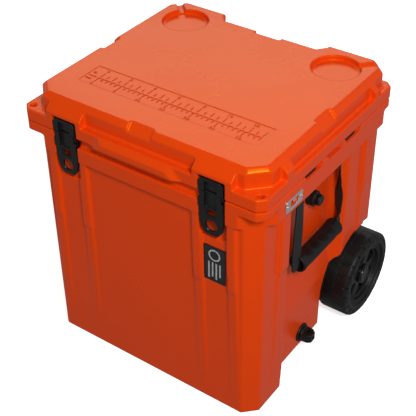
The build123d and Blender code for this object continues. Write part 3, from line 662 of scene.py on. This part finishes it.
def grip(side_, flip):
    """A soft grip: hollow ends with a rolled rim, a saddle on top with four finger hollows, a fuller underside."""
    L = 66.0
    ys = [(-L + 9.0, 11.6), (-L + 1.4, 11.8), (-L + 0.4, 12.6), (-L, 14.0), (-L + 0.4, 15.9), (-L + 1.6, 16.8), (-L + 3.5, 17.0)]
    mid = [-L + 5 + i * (2 * L - 10) / 92 for i in range(93)]
    rows = ys + [(y, None) for y in mid] + [(-y, r) for y, r in reversed(ys)]
    n = 72
    bm = bmesh.new()
    rings = []
    for y, r0 in rows:
        ring = []
        for i in range(n):
            a = 2 * math.pi * i / n
            ux, uz = math.sin(a), math.cos(a)
            if r0 is None:
                e = min(1.0, (L - abs(y)) / 16)
                e = e * e * (3 - 2 * e)
                r = 17.0 - 0.9 * e
                top = max(0.0, uz)
                r -= 3.4 * e * top ** 1.5 * (1 - (y / L) ** 2 * 0.55)
                under = max(0.0, -uz)
                if abs(y) < 44:
                    r += 0.9 * under * min(1, (44 - abs(y)) / 2.5)
                dip = 0.0
                ang = math.atan2(ux, uz) - 0.12
                for c in (-36.5, -12.2, 12.2, 36.5):
                    q = 1 - ((y - c) / 11.4) ** 2 - (ang / 0.98) ** 2
                    if q > 0:
                        dip = max(dip, 3.1 * q ** 0.5)
                r -= dip
            else:
                r = r0
            p = D(SX + r * ux, y, GZ + r * uz)
            ring.append(bm.verts.new(Vector((-p.x if flip else p.x, p.y, p.z))))
        rings.append(ring)
    for a_, b_ in zip(rings, rings[1:]):
        for i in range(n):
            bm.faces.new((a_[i], a_[(i + 1) % n], b_[(i + 1) % n], b_[i]))
    bm.faces.new(rings[0])
    bm.faces.new(rings[-1][::-1])
    ob = bm_object(f"grip_{side_}_moulded", bm)
    smooth_shade(ob, 50)
    return settle(ob, [f"handle_grip_{side_}"], GRIPM)


def ribbon(name, path, half, thick, flip):
    """Flat webbing along a path of (point in mm, turn about the path in degrees, width factor)."""
    bm = bmesh.new()
    uvl = bm.loops.layers.uv.new("strap")
    cross = [(-1, -1), (-0.9, -1.0), (-0.4, -1.06), (0.4, -1.06), (0.9, -1.0), (1, -1), (1.03, 0), (1, 1), (0.9, 1.0),
             (0.4, 1.06), (-0.4, 1.06), (-0.9, 1.0), (-1, 1), (-1.03, 0)]
    rings, dist, last = [], 0.0, None
    for (x, y, z), turn, wf in path:
        here = Vector((x, y, z))
        if last is not None:
            dist += (here - last).length
        last = here
        t = math.radians(turn)
        w = Vector((math.sin(t), math.cos(t), 0))
        nrm = Vector((math.cos(t), -math.sin(t), 0))
        row = []
        for u, v in cross:
            p = here + w * (u * half * wf) + nrm * (v * thick / 2 * (0.62 if abs(u) > 1.01 else 1))
            q = D(p.x, p.y, p.z)
            row.append((bm.verts.new(Vector((-q.x if flip else q.x, q.y, q.z))), u * half / 1000, dist / 1000))
        rings.append(row)
    n = len(cross)
    for a_, b_ in zip(rings, rings[1:]):
        for i in range(n):
            j = (i + 1) % n
            quad = (a_[i], a_[j], b_[j], b_[i])
            f = bm.faces.new([q[0] for q in quad])
            for lp, q in zip(f.loops, quad):
                lp[uvl].uv = (q[1] + 0.05, q[2])
    for row in (rings[0], rings[-1][::-1]):
        f = bm.faces.new([q[0] for q in row])
        for lp, q in zip(f.loops, row):
            lp[uvl].uv = (q[1] + 0.05, q[2])
    return bm_object(name, bm)


def strap_path(t, twist):
    """From the collar down to the grip's end, where the webbing's rounded tongue is sewn round the core."""
    pts = []
    n = 60
    for i in range(n + 1):
        k = i / n
        z = 421.5 + (GZ - 12.0 - 421.5) * k
        y = t * (67.5 + 5.0 * k ** 1.3)
        x = SX + 0.9 * math.sin(math.pi * k) * (1 if t < 0 else 1.6)
        wf = 1.0
        if z < GZ:
            wf = math.sqrt(max(0.03, 1 - ((GZ - z) / 12.4) ** 2))
        elif z < GZ + 26:
            wf = 1.0
        if z < GZ + 40:
            wf *= 0.84 + 0.16 * max(0.0, (z - GZ) / 40)
        elif z <= GZ:
            wf *= 0.84
        pts.append(((x, y, z), twist(z), wf))
    return pts


def smooth_step(z, stops):
    """Eased value through (z, value) stops, z falling."""
    for (z0, v0), (z1, v1) in zip(stops, stops[1:]):
        if z1 <= z <= z0:
            k = (z0 - z) / (z0 - z1)
            k = k * k * (3 - 2 * k)
            return v0 + (v1 - v0) * k
    return stops[-1][1] if z < stops[-1][0] else stops[0][1]


FRONT_TWIST = [(423, 0), (390, -4), (330, 3), (280, 4), (262, 0)]
BACK_TWIST = [(423, -8), (404, -22), (388, -27), (368, -37), (334, -57), (303, -50), (282, -22), (266, 0)]
for flip, side_ in ((False, "right"), (True, "left")):
    grip(side_, flip)
    a_ = ribbon(f"strap_{side_}", strap_path(-1, lambda z: smooth_step(z, FRONT_TWIST)), 12.5, 2.3, flip)
    b_ = ribbon("strap_part", strap_path(1, lambda z: smooth_step(z, BACK_TWIST)), 12.5, 2.3, flip)
    bm = bmesh.new()
    bm.from_mesh(a_.data)
    bm.from_mesh(b_.data)
    bm.to_mesh(a_.data)
    bm.free()
    bpy.data.objects.remove(b_)
    smooth_shade(a_, 60)
    settle(a_, [f"handle_strap_{side_}"], WEB)

# ---------------------------------------------------------------- small mouldings with rounded edges
for n, vox, rounds, keep, mat in (
        ("hinge_block_left", 0.0008, 2, 0.3, BLACK), ("hinge_block_right", 0.0008, 2, 0.3, BLACK),
        ("tow_bracket_lower", 0.0009, 2, 0.3, BLACK), ("tow_bracket_upper", 0.0009, 2, 0.3, BLACK),
        ("tow_grip", 0.0010, 4, 0.3, BLACK), ("tow_button", 0.0006, 2, 0.4, BLACK_GLOSS),
        ("latch_keeper_left", 0.0006, 2, 0.3, BLACK), ("latch_keeper_right", 0.0006, 2, 0.3, BLACK),
        ("lid_inner_panel", 0.0015, 2, 0.2, ORANGE_IN)):
    soften(n, n + "_rounded", vox, rounds, keep, mat)

# ---------------------------------------------------------------- vent, drain, opener plate, badge
VX, VY, VZ = 206.0, 0.0, 362.0
flutes = [("cx", VY + 14.7 * math.cos(2 * math.pi * k / 18), VZ + 14.7 * math.sin(2 * math.pi * k / 18), 1.5, VX + 5, VX + 14.2)
          for k in range(18)]
carve("vent_knob_cast",
      [("cx", VY, VZ, 14.2, VX + 4.4, VX + 13.6), ("cx", VY, VZ, 14.2, VX + 13.5, VX + 15.0, 12.6),
       ("cx", VY, VZ, 10.2, VX + 14, VX + 22.6), ("cx", VY, VZ, 10.2, VX + 22.5, VX + 24.0, 8.8)],
      flutes + [("cx", VY, VZ, 10.9, VX + 16.6, VX + 17.6), ("cx", VY, VZ, 5.6, VX + 23.4, VX + 26)],
      0.42, 2, 0.4, BLACK_GLOSS, ["vent_knob"])
carve("vent_body_cast",
      [("cx", VY, VZ, 15, VX, VX + 3), ("cx", VY, VZ, 15, VX + 2.9, VX + 4.0, 13.8), ("cx", VY, VZ, 8, 165, VX + 1),
       ("cx", VY, VZ, 4.8, VX, VX + 13)],
      [], 0.6, 1, 0.4, BLACK, ["vent_body"])
PX, PY, PZ = 215.5, -16.0, 56.0
carve("drain_fitting_cast",
      [("cx", PY, PZ, 19, PX, PX + 2.6), ("cx", PY, PZ, 19, PX + 2.5, PX + 4.0, 17.6), ("cx", PY, PZ, 9, 165, PX + 1)],
      [("cx", PY, PZ, 6, 160, PX + 6)], 0.6, 2, 0.4, BLACK, ["drain_fitting"])
wing = [(PX + 8.0, PY - 13), (PX + 20, PY - 11.8), (PX + 26.6, PY - 6.5), (PX + 26.6, PY + 6.5), (PX + 20, PY + 11.8),
        (PX + 8.0, PY + 13)]
carve("drain_plug_cast",
      [("cx", PY, PZ, 5.8, PX - 25, PX + 6), ("cx", PY, PZ, 15.2, PX + 4.5, PX + 7.6), ("cx", PY, PZ, 15.2, PX + 7.5, PX + 9.0, 13.6),
       ("pz", wing, PZ - 8.8, PZ + 8.8)],
      [("box", PX + 11.2, PX + 21.0, PY - 6.2, PY + 6.2, PZ - 20, PZ + 20),
       ("pz", [(PX + 16, PY - 3.6), (PX + 30, PY - 3.6), (PX + 30, PY + 3.6), (PX + 16, PY + 3.6)], PZ - 3.4, PZ + 3.4)],
      0.5, 2, 0.4, BLACK_GLOSS, ["drain_plug"])

plate_pts = []
for cx_, cz_, a0 in ((-102.2, 451.0, 0), (-144.2, 451.0, 90), (-144.2, 436.5, 180), (-102.2, 436.5, 270)):
    for k in range(5):
        a = math.radians(a0 + 22.5 * k)
        plate_pts.append((cx_ + 4 * math.cos(a), cz_ + 4 * math.sin(a)))
win = []
for cx_, cz_, a0 in ((-113.5, 447.5, 0), (-132.5, 447.5, 90), (-132.5, 441.5, 180), (-113.5, 441.5, 270)):
    for k in range(5):
        a = math.radians(a0 + 22.5 * k)
        win.append((cx_ + 3 * math.cos(a), cz_ + 3 * math.sin(a)))
carve("opener_plate_pressed",
      [("px", plate_pts, 245.15, 247.1)],
      [("px", win, 240, 250), ("cx", -143.0, 443.7, 3.6, 246.7, 250, 3.9), ("cx", -103.0, 443.7, 3.6, 246.7, 250, 3.9)],
      0.30, 2, 0.25, PLATE, ["opener_plate"])
tooth = carve("opener_tooth",
      [("px", [(-127.2, 452), (-125.4, 444.9), (-120.6, 444.9), (-118.8, 452)], 245.4, 247.0)],
      [], 0.3, 2, 0.4, PLATE, [], body="cooler_body")
for y in (-143.0, -103.0):
    carve(f"opener_screw_{'front' if y < -120 else 'back'}",
          [("cx", y, 443.7, 3.2, 246.4, 247.5), ("cx", y, 443.7, 3.2, 247.4, 248.2, 2.0)],
          [("box", 247.3, 250, y - 2.1, y + 2.1, 443.3, 444.1), ("box", 247.3, 250, y - 0.4, y + 0.4, 441.6, 445.8)],
          0.16, 1, 0.4, STEEL, ["opener_screws"] if y < -120 else [], body="cooler_body")

# badge: a raised rim, a ring and plain bars, where a maker would print a label
PRINT = Mat("badge_print", (0.42, 0.43, 0.44), 0.42, Specular_IOR_Level=0.4)
PRINT.color(PRINT.mix(PRINT.range(PRINT.noise(180, 3, 0.6), 0.35, 0.7, 0, 1), (0.34, 0.35, 0.36), (0.46, 0.47, 0.48)))
PRINT.bump(PRINT.noise(900, 2, 0.5), 0.08, 0.0002)
bb = [NODES["badge"].matrix_world @ Vector(c) for c in NODES["badge"].bound_box]
bx0, bx1 = min(v.x for v in bb) * 1000, max(v.x for v in bb) * 1000
bz0, bz1 = min(v.z for v in bb) * 1000, max(v.z for v in bb) * 1000
by = min(v.y for v in bb) * 1000 - SHIFT_Y
mx, w_ = (bx0 + bx1) / 2, bx1 - bx0
rim = [("box", bx0 + 1.6, bx1 - 1.6, by - 0.30, by + 0.2, bz0 + 1.6, bz0 + 2.5), ("box", bx0 + 1.6, bx1 - 1.6, by - 0.30, by + 0.2, bz1 - 2.5, bz1 - 1.6),
       ("box", bx0 + 1.6, bx0 + 2.5, by - 0.30, by + 0.2, bz0 + 1.6, bz1 - 1.6), ("box", bx1 - 2.5, bx1 - 1.6, by - 0.30, by + 0.2, bz0 + 1.6, bz1 - 1.6)]
ob = shapes("badge_rim", rim, False)
settle(ob, [], BADGE, "cooler_body")
bm = bmesh.new()
zc = bz1 - 4.5 - 0.30 * w_
for k in range(48):
    a0_, a1_ = 2 * math.pi * k / 48, 2 * math.pi * (k + 1) / 48
    q = [(0.27 * w_, a0_), (0.27 * w_, a1_), (0.205 * w_, a1_), (0.205 * w_, a0_)]
    bm.faces.new([bm.verts.new(D(mx + r * math.cos(a), by - 0.12, zc + r * math.sin(a))) for r, a in q][::-1])
for k, frac in enumerate((0.27, 0.20, 0.27, 0.14)):
    xc = mx - 0.255 * w_ + k * 0.17 * w_
    z1_, z0_ = zc - 0.36 * w_, bz0 + 5.5 + (0.27 - frac) * 60
    bm.faces.new([bm.verts.new(D(x, by - 0.12, z)) for x, z in ((xc - 1.5, z0_), (xc + 1.5, z0_), (xc + 1.5, z1_), (xc - 1.5, z1_))])
bmesh.ops.remove_doubles(bm, verts=bm.verts, dist=1e-6)
r_ = bmesh.ops.extrude_face_region(bm, geom=bm.faces[:])
bmesh.ops.translate(bm, vec=Vector((0, 0.0002, 0)), verts=[v for v in r_["geom"] if isinstance(v, bmesh.types.BMVert)])
ob = bm_object("badge_print_marks", bm)
settle(ob, [], PRINT.m, "cooler_body")

# ---------------------------------------------------------------- floor
bm = bmesh.new()
bmesh.ops.create_grid(bm, x_segments=2, y_segments=2, size=6)
me = bpy.data.meshes.new("floor")
bm.to_mesh(me)
bm.free()
floor = new_object("floor", me)
floor.location = (0, 0, -0.0005)
fl = Mat("pale_floor", (0.93, 0.93, 0.93), 0.9, Specular_IOR_Level=0.1, Emission_Color=(1, 1, 1, 1), Emission_Strength=0.70)
fl.color(fl.mix(fl.range(fl.noise(3, 2, 0.5), 0.3, 0.7, 0, 1), (0.925, 0.925, 0.925), (0.935, 0.935, 0.935)))
paint(floor, fl.m)
floor.visible_glossy = False
floor.visible_diffuse = False

bpy.context.view_layer.update()
